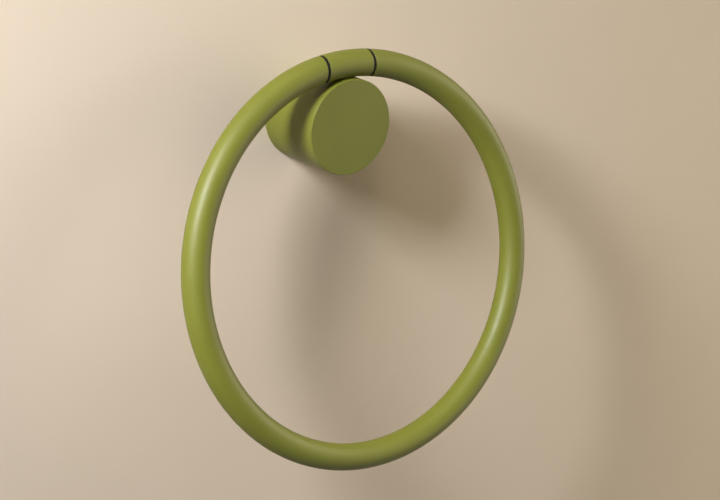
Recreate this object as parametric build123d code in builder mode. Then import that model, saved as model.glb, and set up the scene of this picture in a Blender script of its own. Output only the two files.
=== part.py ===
from build123d import *
import math
import os

# Towel ring: a hoop of bent tube that swings on a short round post.
# Frame: origin at the centre of the post's back, on the wall.
# +X is to the right of someone facing the wall, +Y goes into the wall, +Z is up.
# All lengths are in millimetres and all angles in degrees.

# Hoop of bent round tube
hoop_radius = 102.0  # from the hoop's centre to the middle of the tube
tube_diameter = 14.0
tube_wall = 1.5
hoop_lean = 12.0  # how far the foot of the hoop stands away from the wall
end_edge_chamfer = 0.1  # broken edge where the hoop and the bridge meet a washer

# Post, a turned cup with a closed front, slightly slimmer at the front than at the wall
post_base_diameter = 51.0
post_front_diameter = 50.0
post_length = 40.0
post_wall = 4.0  # at the wall
post_front_wall = 3.0
post_edge_radius = 0.4
post_mouth_chamfer = 0.8

# Bridge, the fixed piece of the hoop's section on top of the post
bridge_length = 27.2
bridge_setback = 6.5  # from the post's front face to the middle of the bridge
saddle_depth = 0.3  # how deep the bridge sits in the top of the post
saddle_clearance = 0.1

# Washers between the bridge and the two ends of the hoop
washer_thickness = 1.6
washer_inset = 0.05  # how far the washer's edge lies below the tube's surface
washer_edge_chamfer = 0.1

# Pivot pin and the bored plugs in the ends of the tube
pin_diameter = 6.0
pin_reach = 6.5  # how far the pin goes into each end of the hoop
pin_chamfer = 0.5
pin_fixed_clearance = 0.05  # radial, pin in the bridge and in the washers
pin_running_clearance = 0.08  # radial, pin in the plugs
pivot_end_clearance = 0.6  # at the bottom of each plug's bore
hoop_end_clearance = 0.05  # between a washer and the end of the hoop
plug_length = 14.0
plug_clearance = 0.1

# Screw from inside the post, through the bridge, into the pin
bridge_screw_diameter = 4.0
bridge_screw_length = 10.0
bridge_screw_head_diameter = 7.0
bridge_screw_head_height = 4.0
bridge_screw_hex = 3.0
bridge_screw_hex_depth = 2.0
screw_hole_clearance = 0.2  # radial, where a screw passes through
thread_clearance = 0.1  # radial, where a screw is threaded
screw_tip_clearance = 0.5  # beyond the tip of the bridge screw
spot_face_clearance = 0.3  # radial, round the screw's head
spot_face_depth = 0.4

# Disc on the wall that the post slides over
plate_thickness = 9.0
plate_clearance = 0.2
plate_edge_chamfer = 0.6
plate_hole_spacing = 26.0
plate_hole_diameter = 4.5
plate_countersink_diameter = 9.0
plate_countersink_angle = 90.0

# Grub screw under the post, in the groove of the wall disc
set_screw_diameter = 4.0
set_screw_length = 5.0
set_screw_height = 4.5  # from the wall to the screw's axis
set_screw_tip_diameter = 1.0
set_screw_hex = 2.0
set_screw_hex_depth = 2.0
groove_depth = 1.6
groove_clearance = 0.1

# Places that follow from the sizes above
tube_radius = tube_diameter / 2
post_base_radius = post_base_diameter / 2
post_front_radius = post_front_diameter / 2
post_bore_radius = post_base_radius - post_wall
post_depth = post_length - post_front_wall
lean_sin = math.sin(math.radians(hoop_lean))
lean_cos = math.cos(math.radians(hoop_lean))

# Crown of the hoop: the middle of the tube straight above the post
crown_y = bridge_setback - post_length
post_taper = (post_base_radius - post_front_radius) / post_length
post_crown_radius = post_front_radius + post_taper * bridge_setback
crown_z = post_crown_radius + tube_radius - saddle_depth

# The hoop's axis, and the plane of the tube's section at the crown, with its X axis away from the hoop's centre
hoop_centre = (0, crown_y - hoop_radius * lean_sin, crown_z - hoop_radius * lean_cos)
hoop_axis = Axis(hoop_centre, (0, -lean_cos, lean_sin))
crown_section = Plane(origin=hoop_centre, x_dir=(0, lean_sin, lean_cos), z_dir=(1, 0, 0))

# The pivot runs along X through the middle of both washers
bridge_end = bridge_length / 2
hoop_end = bridge_end + washer_thickness + hoop_end_clearance
joint_middle = bridge_end + washer_thickness / 2
pivot_drop = hoop_radius - math.sqrt(hoop_radius**2 - joint_middle**2)
pivot_y = crown_y - pivot_drop * lean_sin
pivot_z = crown_z - pivot_drop * lean_cos
pivot_plane = Plane(origin=(0, pivot_y, pivot_z), x_dir=(0, 1, 0), z_dir=(1, 0, 0))
joint_cutter_radius = tube_diameter + pivot_drop

# Angle on the hoop from the crown to the far end of a plug
plug_angle = math.degrees(math.asin(hoop_end / hoop_radius) + plug_length / hoop_radius)

# Seat of the bridge screw's head, on the inside of the post
screw_seat_z = post_bore_radius + spot_face_depth
bridge_screw_plane = Plane(origin=(0, pivot_y, screw_seat_z), x_dir=(1, 0, 0), z_dir=(0, 0, 1))

# Wall disc, its groove and the grub screw that ends in the groove
plate_radius = post_bore_radius - plate_clearance
set_screw_tip_z = -(plate_radius - groove_depth + groove_clearance)
set_screw_point = (set_screw_diameter - set_screw_tip_diameter) / 2
groove_floor = set_screw_tip_diameter / 2 + groove_clearance
groove_mouth = groove_floor + groove_depth

os.makedirs("parts", exist_ok=True)

# Hoop: a tube bent round almost a full turn, its two ends cut square to the pivot
with BuildPart() as ring:
    with BuildSketch(crown_section):
        with Locations((hoop_radius, 0)):
            Circle(tube_radius)
            Circle(tube_radius - tube_wall, mode=Mode.SUBTRACT)
    revolve(axis=hoop_axis)
    with BuildSketch(pivot_plane):
        Circle(joint_cutter_radius)
    extrude(amount=hoop_end, both=True, mode=Mode.SUBTRACT)
    hoop_end_faces = ring.faces().filter_by(Axis.X)
    chamfer([edge for face in hoop_end_faces for edge in face.outer_wire().edges()], end_edge_chamfer)
ring.part.label = "ring"

# Plug in the left end of the tube, bent like the tube and bored along the pivot
with BuildPart() as ring_end_left:
    with BuildSketch(crown_section):
        with Locations((hoop_radius, 0)):
            Circle(tube_radius - tube_wall - plug_clearance)
    revolve(axis=hoop_axis, revolution_arc=plug_angle)
    with BuildSketch(pivot_plane):
        Circle(joint_cutter_radius)
    extrude(amount=hoop_end, both=True, mode=Mode.SUBTRACT)
    with BuildSketch(pivot_plane.offset(-hoop_end)):
        Circle(pin_diameter / 2 + pin_running_clearance)
    extrude(amount=-pin_reach - pivot_end_clearance, mode=Mode.SUBTRACT)
ring_end_left.part.label = "ring_end_left"

with BuildPart() as ring_end_right:
    mirror(ring_end_left.part, about=Plane.YZ)
ring_end_right.part.label = "ring_end_right"

# Post: a turned cup with a rounded front edge, a saddle on top for the bridge,
# a screw hole through the saddle and a threaded hole underneath
with BuildPart() as post:
    with BuildSketch(Plane.XY):
        with BuildLine():
            Polyline(
                (0, -post_length),
                (post_front_radius, -post_length),
                (post_base_radius, 0),
                (post_bore_radius + post_mouth_chamfer, 0),
                (post_bore_radius, -post_mouth_chamfer),
                (post_bore_radius, -post_depth),
                (0, -post_depth),
                close=True,
            )
        make_face()
        front_edge = vertices().group_by(Axis.Y)[0].sort_by(Axis.X)[-1]
        fillet(front_edge, post_edge_radius)
    revolve(axis=Axis.Y)
    with BuildSketch(crown_section):
        with Locations((hoop_radius, 0)):
            Circle(tube_radius + saddle_clearance)
    revolve(axis=hoop_axis, mode=Mode.SUBTRACT)
    with BuildSketch(bridge_screw_plane):
        Circle(bridge_screw_diameter / 2 + screw_hole_clearance)
    extrude(amount=pivot_z - screw_seat_z, mode=Mode.SUBTRACT)
    with BuildSketch(bridge_screw_plane):
        Circle(bridge_screw_head_diameter / 2 + spot_face_clearance)
    extrude(amount=-bridge_screw_head_height, mode=Mode.SUBTRACT)
    with BuildSketch(Plane(origin=(0, -set_screw_height, 0), x_dir=(1, 0, 0), z_dir=(0, 0, -1))):
        Circle(set_screw_diameter / 2 + thread_clearance)
    extrude(amount=post_base_diameter, mode=Mode.SUBTRACT)
post.part.label = "post"

# Bridge: a solid piece of the hoop's section, bored along the pivot for the pin
with BuildPart() as bridge:
    with BuildSketch(crown_section):
        with Locations((hoop_radius, 0)):
            Circle(tube_radius)
    revolve(axis=hoop_axis)
    with BuildSketch(pivot_plane):
        Circle(joint_cutter_radius)
    extrude(amount=bridge_end, both=True, mode=Mode.INTERSECT)
    chamfer(bridge.faces().filter_by(Axis.X).edges(), end_edge_chamfer)
    with BuildSketch(pivot_plane):
        Circle(pin_diameter / 2 + pin_fixed_clearance)
    extrude(amount=bridge_end, both=True, mode=Mode.SUBTRACT)
    with BuildSketch(bridge_screw_plane):
        Circle(bridge_screw_diameter / 2 + thread_clearance)
    extrude(amount=bridge_screw_length + screw_tip_clearance, mode=Mode.SUBTRACT)
bridge.part.label = "bridge"

# Pivot pin, with a threaded hole across its middle
with BuildPart() as pivot_pin:
    with BuildSketch(pivot_plane):
        Circle(pin_diameter / 2)
    extrude(amount=hoop_end + pin_reach, both=True)
    chamfer(pivot_pin.faces().filter_by(Axis.X).edges(), pin_chamfer)
    with BuildSketch(bridge_screw_plane):
        Circle(bridge_screw_diameter / 2 + thread_clearance)
    extrude(amount=pivot_z - screw_seat_z + pin_diameter, mode=Mode.SUBTRACT)
pivot_pin.part.label = "pivot_pin"

# Washer on the right end of the bridge, and its mirror image on the left
with BuildPart() as joint_washer_right:
    with BuildSketch(pivot_plane.offset(bridge_end)):
        Circle(tube_radius - washer_inset)
    extrude(amount=washer_thickness)
    chamfer(joint_washer_right.faces().filter_by(Axis.X).edges(), washer_edge_chamfer)
    with BuildSketch(pivot_plane.offset(bridge_end)):
        Circle(pin_diameter / 2 + pin_fixed_clearance)
    extrude(amount=washer_thickness, mode=Mode.SUBTRACT)
joint_washer_right.part.label = "joint_washer_right"

with BuildPart() as joint_washer_left:
    mirror(joint_washer_right.part, about=Plane.YZ)
joint_washer_left.part.label = "joint_washer_left"

# Socket screw that pulls the bridge down into the saddle and holds the pin
with BuildPart() as bridge_screw:
    with BuildSketch(bridge_screw_plane):
        Circle(bridge_screw_head_diameter / 2)
    extrude(amount=-bridge_screw_head_height)
    with BuildSketch(bridge_screw_plane):
        Circle(bridge_screw_diameter / 2)
    extrude(amount=bridge_screw_length)
    with BuildSketch(bridge_screw_plane.offset(-bridge_screw_head_height)):
        RegularPolygon(bridge_screw_hex / 2, 6, major_radius=False)
    extrude(amount=bridge_screw_hex_depth, mode=Mode.SUBTRACT)
bridge_screw.part.label = "bridge_screw"

# Wall disc: turned, with a groove round its rim and two countersunk screw holes
with BuildPart() as wall_plate:
    with BuildSketch(Plane.XY):
        with BuildLine():
            Polyline(
                (0, -plate_thickness),
                (plate_radius - plate_edge_chamfer, -plate_thickness),
                (plate_radius, plate_edge_chamfer - plate_thickness),
                (plate_radius, -set_screw_height - groove_mouth),
                (plate_radius - groove_depth, -set_screw_height - groove_floor),
                (plate_radius - groove_depth, -set_screw_height + groove_floor),
                (plate_radius, -set_screw_height + groove_mouth),
                (plate_radius, 0),
                (0, 0),
                close=True,
            )
        make_face()
    revolve(axis=Axis.Y)
    with Locations(Plane.XZ.offset(plate_thickness)):
        with GridLocations(plate_hole_spacing, 0, 2, 1):
            CounterSinkHole(
                plate_hole_diameter / 2,
                plate_countersink_diameter / 2,
                counter_sink_angle=plate_countersink_angle,
            )
wall_plate.part.label = "wall_plate"

# Grub screw with a cone point and a hexagon socket
with BuildPart() as set_screw:
    with BuildSketch(Plane(origin=(0, -set_screw_height, set_screw_tip_z), x_dir=(1, 0, 0), z_dir=(0, 0, -1))):
        Circle(set_screw_diameter / 2)
    extrude(amount=set_screw_length)
    chamfer(set_screw.edges().sort_by(Axis.Z)[-1], set_screw_point - 0.001)
    with BuildSketch(Plane(set_screw.faces().sort_by(Axis.Z)[0])):
        RegularPolygon(set_screw_hex / 2, 6, major_radius=False)
    extrude(amount=-set_screw_hex_depth, mode=Mode.SUBTRACT)
set_screw.part.label = "set_screw"

export_step(ring.part, "parts/ring.step")
export_step(ring_end_right.part, "parts/ring_end_right.step")
export_step(ring_end_left.part, "parts/ring_end_left.step")
export_step(post.part, "parts/post.step")
export_step(bridge.part, "parts/bridge.step")
export_step(pivot_pin.part, "parts/pivot_pin.step")
export_step(joint_washer_right.part, "parts/joint_washer_right.step")
export_step(joint_washer_left.part, "parts/joint_washer_left.step")
export_step(bridge_screw.part, "parts/bridge_screw.step")
export_step(wall_plate.part, "parts/wall_plate.step")
export_step(set_screw.part, "parts/set_screw.step")
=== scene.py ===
from math import radians

import bpy
from mathutils import Matrix, Vector


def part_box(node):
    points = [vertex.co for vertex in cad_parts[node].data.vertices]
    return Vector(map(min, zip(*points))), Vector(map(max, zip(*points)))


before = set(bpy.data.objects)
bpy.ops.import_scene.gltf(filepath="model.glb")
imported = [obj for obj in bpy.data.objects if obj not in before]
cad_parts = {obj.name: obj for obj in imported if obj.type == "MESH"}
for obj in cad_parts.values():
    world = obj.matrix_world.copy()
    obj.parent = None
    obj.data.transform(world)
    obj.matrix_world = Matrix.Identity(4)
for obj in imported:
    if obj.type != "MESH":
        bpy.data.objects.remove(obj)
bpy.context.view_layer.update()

# The photograph's frame in pixels, and the camera that was fitted to it (metres, part's frame).
IMAGE_WIDTH = 720
FOCAL_PIXELS = 1544.1
SENSOR_MM = 36.0
CAMERA_PLACE = (-0.46240, -0.63820, 0.21659)
CAMERA_RIGHT = (0.79100, -0.61146, 0.02086)
CAMERA_DOWN = (-0.19882, -0.28914, -0.93641)
CAMERA_FORWARD = (0.57861, 0.73656, -0.35027)

# One millimetre in scene units, for patterns that are given by their real size.
MM = 0.001

# A wave texture at scale 1 repeats after this distance.
WAVE_PERIOD = 0.314

# The stage, in metres: the wall's reach to all sides, how far the post covers the edge of its opening,
# the wall's distance behind the part, the number of corners on its round edges, how far the floor lies
# below the part's origin, and the floor's width.
WALL_REACH = 2.0
WALL_OVERLAP = 0.2 * MM
WALL_GAP = 0.05 * MM
WALL_CORNERS = 96
FLOOR_DROP = 1.8
FLOOR_WIDTH = 8.0

# The plain pale colour round the stage, and how much of the floor's look it makes up.
BACKDROP = "#DDD6CB"
FLOOR_EVENNESS = 0.9

# The points that the lamps look at: the key past the part to the lower right, along the wall,
# and the fills below the post and a little to its right.
KEY_TARGET = (0.40, -0.25, -0.50)
FILL_TARGET = (0.1, 0, -0.1)


def linear(hex_colour):
    """An sRGB hex value as a linear colour with alpha."""
    parts = [int(hex_colour[i:i + 2], 16) / 255 for i in (1, 3, 5)]
    curve = [p / 12.92 if p <= 0.04045 else ((p + 0.055) / 1.055) ** 2.4 for p in parts]
    return (*curve, 1.0)


def node(tree, kind, settings=None, inputs=None):
    """Adds one node, sets its options, and sets or links its inputs."""
    made = tree.nodes.new(kind)
    for key, value in (settings or {}).items():
        setattr(made, key, value)
    for key, value in (inputs or {}).items():
        if isinstance(value, bpy.types.NodeSocket):
            tree.links.new(value, made.inputs[key])
        else:
            made.inputs[key].default_value = value
    return made


def new_material(name):
    """An empty node material with its output, ready for a shader."""
    material = bpy.data.materials.new(name)
    material.use_nodes = True
    tree = material.node_tree
    tree.nodes.clear()
    output = node(tree, "ShaderNodeOutputMaterial")
    return material, tree, output


def satin_lacquer():
    """Sprayed satin lacquer on metal: an even yellow-green, faintly cloudy in depth of colour,
    with the shallow ripple that a sprayed coat dries with, so highlights are soft and a little broken."""
    material, tree, output = new_material("satin_lacquer_yellow_green")
    place = node(tree, "ShaderNodeTexCoord").outputs["Object"]
    cloud = node(tree, "ShaderNodeTexNoise", None,
                 {"Vector": place, "Scale": 1 / (45 * MM), "Detail": 3.0, "Roughness": 0.5})
    colour = node(tree, "ShaderNodeValToRGB", None, {"Fac": cloud.outputs["Fac"]})
    colour.color_ramp.elements[0].position = 0.3
    colour.color_ramp.elements[0].color = linear("#676C1F")
    colour.color_ramp.elements[1].position = 0.7
    colour.color_ramp.elements[1].color = linear("#6D7224")
    mist = node(tree, "ShaderNodeTexNoise", None,
                {"Vector": place, "Scale": 1 / (9 * MM), "Detail": 4.0, "Roughness": 0.6})
    sheen = node(tree, "ShaderNodeMapRange", None,
                 {"Value": mist.outputs["Fac"], "From Min": 0.3, "From Max": 0.7,
                  "To Min": 0.46, "To Max": 0.52})
    ripple = node(tree, "ShaderNodeTexNoise", None,
                  {"Vector": place, "Scale": 1 / (1.8 * MM), "Detail": 2.0, "Roughness": 0.5})
    bump = node(tree, "ShaderNodeBump", None,
                {"Height": ripple.outputs["Fac"], "Strength": 0.25, "Distance": 0.05 * MM})
    shader = node(tree, "ShaderNodeBsdfPrincipled", None,
                  {"Base Color": colour.outputs["Color"], "Roughness": sheen.outputs["Result"],
                   "Normal": bump.outputs["Normal"], "IOR": 1.5})
    tree.links.new(shader.outputs["BSDF"], output.inputs["Surface"])
    return material


def black_rubber():
    """Moulded nitrile rubber: near black, dull, with a fine dry grain."""
    material, tree, output = new_material("moulded_black_rubber")
    place = node(tree, "ShaderNodeTexCoord").outputs["Object"]
    grain = node(tree, "ShaderNodeTexNoise", None,
                 {"Vector": place, "Scale": 1 / (0.6 * MM), "Detail": 3.0, "Roughness": 0.6})
    colour = node(tree, "ShaderNodeValToRGB", None, {"Fac": grain.outputs["Fac"]})
    colour.color_ramp.elements[0].color = linear("#030303")
    colour.color_ramp.elements[1].color = linear("#0B0B0A")
    bump = node(tree, "ShaderNodeBump", None,
                {"Height": grain.outputs["Fac"], "Strength": 0.4, "Distance": 0.05 * MM})
    shader = node(tree, "ShaderNodeBsdfPrincipled", None,
                  {"Base Color": colour.outputs["Color"], "Roughness": 0.8, "Specular IOR Level": 0.2,
                   "Normal": bump.outputs["Normal"], "IOR": 1.52})
    tree.links.new(shader.outputs["BSDF"], output.inputs["Surface"])
    return material


def turned_metal(name, piece, dark, pale, roughness, pitch_mm, axis):
    """Metal turned on a lathe: fine tool rings about an axis through the middle of a piece, drawn at
    pitch_mm, coarser than the real feed so that they show, with a slightly uneven polish."""
    material, tree, output = new_material(name)
    place = node(tree, "ShaderNodeTexCoord").outputs["Object"]
    low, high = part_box(piece)
    centred = node(tree, "ShaderNodeMapping", None, {"Vector": place, "Location": -(low + high) / 2})
    rings = node(tree, "ShaderNodeTexWave", {"wave_type": "RINGS", "rings_direction": axis},
                 {"Vector": centred.outputs["Vector"], "Scale": WAVE_PERIOD / (pitch_mm * MM),
                  "Distortion": 0.15, "Detail": 1.0})
    colour = node(tree, "ShaderNodeValToRGB", None, {"Fac": rings.outputs["Fac"]})
    colour.color_ramp.elements[0].color = linear(dark)
    colour.color_ramp.elements[1].color = linear(pale)
    polish = node(tree, "ShaderNodeTexNoise", None,
                  {"Vector": place, "Scale": 1 / (14 * MM), "Detail": 2.0, "Roughness": 0.5})
    dull = node(tree, "ShaderNodeMapRange", None,
                {"Value": polish.outputs["Fac"], "From Min": 0.3, "From Max": 0.7,
                 "To Min": roughness - 0.02, "To Max": roughness + 0.04})
    bump = node(tree, "ShaderNodeBump", None,
                {"Height": rings.outputs["Fac"], "Strength": 0.3, "Distance": 0.03 * MM})
    shader = node(tree, "ShaderNodeBsdfPrincipled", None,
                  {"Base Color": colour.outputs["Color"], "Metallic": 1.0,
                   "Roughness": dull.outputs["Result"], "Normal": bump.outputs["Normal"]})
    tree.links.new(shader.outputs["BSDF"], output.inputs["Surface"])
    return material


def painted_wall():
    """Flat wall paint, warm and pale. Its back is clear, so that the part's back can be looked at too."""
    material, tree, output = new_material("flat_wall_paint")
    place = node(tree, "ShaderNodeTexCoord").outputs["Object"]
    roller = node(tree, "ShaderNodeTexNoise", None,
                  {"Vector": place, "Scale": 1 / (60 * MM), "Detail": 3.0, "Roughness": 0.55})
    colour = node(tree, "ShaderNodeValToRGB", None, {"Fac": roller.outputs["Fac"]})
    colour.color_ramp.elements[0].color = linear("#EBDECE")
    colour.color_ramp.elements[1].color = linear("#F0E2D3")
    paint = node(tree, "ShaderNodeBsdfDiffuse", None, {"Color": colour.outputs["Color"]})
    clear = node(tree, "ShaderNodeBsdfTransparent")
    back = node(tree, "ShaderNodeNewGeometry").outputs["Backfacing"]
    sides = node(tree, "ShaderNodeMixShader", None,
                 {0: back, 1: paint.outputs["BSDF"], 2: clear.outputs["BSDF"]})
    tree.links.new(sides.outputs["Shader"], output.inputs["Surface"])
    return material


def shows_backdrop(tree):
    """1 for the rays that see the backdrop: the eye's own, and those that a finish mirrors or lets through,
    and 0 for those that would light the part."""
    path = node(tree, "ShaderNodeLightPath")
    turned = node(tree, "ShaderNodeMath", {"operation": "MAXIMUM"},
                  {0: path.outputs["Is Glossy Ray"], 1: path.outputs["Is Transmission Ray"]})
    return node(tree, "ShaderNodeMath", {"operation": "MAXIMUM"},
                {0: path.outputs["Is Camera Ray"], 1: turned.outputs["Value"]}).outputs["Value"]


def pale_floor():
    """A plain floor, nearly even in the backdrop's colour, that keeps a soft trace of shadow."""
    material, tree, output = new_material("plain_floor")
    share = node(tree, "ShaderNodeMath", {"operation": "MULTIPLY"},
                 {0: shows_backdrop(tree), 1: FLOOR_EVENNESS})
    matt = node(tree, "ShaderNodeBsdfDiffuse", None, {"Color": linear("#E6DDD0")})
    even = node(tree, "ShaderNodeEmission", None, {"Color": linear(BACKDROP), "Strength": 1.0})
    mix = node(tree, "ShaderNodeMixShader", None,
               {0: share.outputs["Value"], 1: matt.outputs["BSDF"], 2: even.outputs["Emission"]})
    tree.links.new(mix.outputs["Shader"], output.inputs["Surface"])
    return material


def dress(names, material):
    """Gives CAD nodes a finish."""
    for name in names:
        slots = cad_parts[name].data.materials
        slots.clear()
        slots.append(material)


def build_wall():
    """The wall that the part is fixed to, as a backdrop just behind the part's back.
    It is open where the post hides it, so that light from behind reaches the part's back."""
    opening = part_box("post")[1].x - WALL_OVERLAP
    bpy.ops.object.select_all(action="DESELECT")
    bpy.ops.mesh.primitive_circle_add(vertices=WALL_CORNERS, radius=opening, fill_type="NOTHING")
    wall = bpy.context.object
    wall.name = "wall"
    grow = WALL_REACH / opening
    bpy.ops.object.mode_set(mode="EDIT")
    bpy.ops.mesh.select_all(action="SELECT")
    bpy.ops.mesh.extrude_edges_move()
    bpy.ops.transform.resize(value=(grow, grow, 1), center_override=(0, 0, 0))
    bpy.ops.mesh.select_all(action="SELECT")
    bpy.ops.mesh.flip_normals()
    bpy.ops.object.mode_set(mode="OBJECT")
    wall.data.transform(Matrix.Rotation(radians(90), 4, "X"))
    wall.data.transform(Matrix.Translation((0, WALL_GAP, 0)))
    wall.data.materials.append(painted_wall())


def build_floor():
    """A plain pale floor well below the part, out of the photograph's view. The finishes mirror it,
    but it casts no light on the part."""
    bpy.ops.mesh.primitive_plane_add(size=FLOOR_WIDTH)
    floor = bpy.context.object
    floor.name = "floor"
    floor.data.transform(Matrix.Translation((0, 0, -FLOOR_DROP)))
    floor.data.materials.append(pale_floor())
    floor.visible_diffuse = False


def build_camera():
    """Stands where the photograph was taken from."""
    data = bpy.data.cameras.new("camera")
    data.sensor_fit = "HORIZONTAL"
    data.sensor_width = SENSOR_MM
    data.lens = FOCAL_PIXELS * SENSOR_MM / IMAGE_WIDTH
    camera = bpy.data.objects.new("camera", data)
    bpy.context.scene.collection.objects.link(camera)
    turn = Matrix((CAMERA_RIGHT, [-c for c in CAMERA_DOWN], [-c for c in CAMERA_FORWARD])).transposed()
    camera.matrix_world = Matrix.Translation(CAMERA_PLACE) @ turn.to_4x4()
    bpy.context.scene.camera = camera


def add_lamp(name, place, target, size, power, colour, spread=180):
    """A soft box that looks at a point. Its size is its width and height in metres, its power is in watts,
    and a spread below 180 degrees is a grid on it."""
    data = bpy.data.lights.new(name, "AREA")
    data.shape = "RECTANGLE"
    data.size, data.size_y = size
    data.energy = power
    data.color = linear(colour)[:3]
    data.spread = radians(spread)
    lamp = bpy.data.objects.new(name, data)
    bpy.context.scene.collection.objects.link(lamp)
    lamp.location = place
    look = Vector(target) - Vector(place)
    lamp.rotation_euler = look.to_track_quat("-Z", "Y").to_euler()


def build_light():
    """A small soft box on the upper left, close to the wall, as the key; wide soft fills on the right,
    above and low."""
    add_lamp("key", place=(-0.71, -0.285, 0.50), target=KEY_TARGET, size=(0.18, 0.24),
             power=5.2, colour="#FFFDFB", spread=100)
    add_lamp("fill", place=(1.45, -0.60, 0.25), target=FILL_TARGET, size=(1.1, 1.1),
             power=9.8, colour="#FFF1D6")
    add_lamp("side", place=(1.70, -0.80, -0.20), target=FILL_TARGET, size=(1.6, 1.6),
             power=8.0, colour="#FFEFCC")
    add_lamp("top", place=(0.20, -0.50, 1.60), target=FILL_TARGET, size=(1.0, 1.0),
             power=4.2, colour="#FFF1D2")
    add_lamp("low", place=(0.90, -1.20, -0.70), target=FILL_TARGET, size=(0.8, 0.8),
             power=0.6, colour="#FFF6EA")


def build_world():
    """A plain pale backdrop that the eye and the finishes see. Behind the wall it also lights the part's
    back; in front of the wall it gives hardly any light."""
    world = bpy.data.worlds.new("studio")
    bpy.context.scene.world = world
    world.use_nodes = True
    tree = world.node_tree
    tree.nodes.clear()
    direction = node(tree, "ShaderNodeTexCoord").outputs["Generated"]
    way = node(tree, "ShaderNodeSeparateXYZ", None, {"Vector": direction})
    behind = node(tree, "ShaderNodeMath", {"operation": "GREATER_THAN"}, {0: way.outputs["Y"], 1: 0.0})
    shown = node(tree, "ShaderNodeMath", {"operation": "MAXIMUM"},
                 {0: shows_backdrop(tree), 1: behind.outputs["Value"]})
    dim = node(tree, "ShaderNodeBackground", None, {"Color": linear("#FFE2B4"), "Strength": 0.02})
    pale = node(tree, "ShaderNodeBackground", None, {"Color": linear(BACKDROP), "Strength": 1.0})
    seen = node(tree, "ShaderNodeMixShader", None,
                {0: shown.outputs["Value"], 1: dim.outputs["Background"], 2: pale.outputs["Background"]})
    node(tree, "ShaderNodeOutputWorld", None, {"Surface": seen.outputs["Shader"]})


dress(["post", "bridge", "ring"], satin_lacquer())
dress(["joint_washer_left", "joint_washer_right"], black_rubber())
dress(["wall_plate"],
      turned_metal("turned_aluminium", "wall_plate", "#B9BABD", "#D2D3D6",
                   roughness=0.32, pitch_mm=1.2, axis="Y"))
dress(["pivot_pin"],
      turned_metal("ground_steel", "pivot_pin", "#9C9DA0", "#B8B9BC",
                   roughness=0.24, pitch_mm=0.8, axis="X"))
dress(["ring_end_left", "ring_end_right"],
      turned_metal("turned_brass", "ring_end_left", "#B8924A", "#D0AC62",
                   roughness=0.3, pitch_mm=0.9, axis="X"))
for screw in ("bridge_screw", "set_screw"):
    dress([screw],
          turned_metal(screw + "_steel", screw, "#8E8F92", "#AEAFB2",
                       roughness=0.3, pitch_mm=0.7, axis="Z"))

build_wall()
build_floor()
build_camera()
build_light()
build_world()

bpy.context.scene.view_settings.view_transform = "Standard"
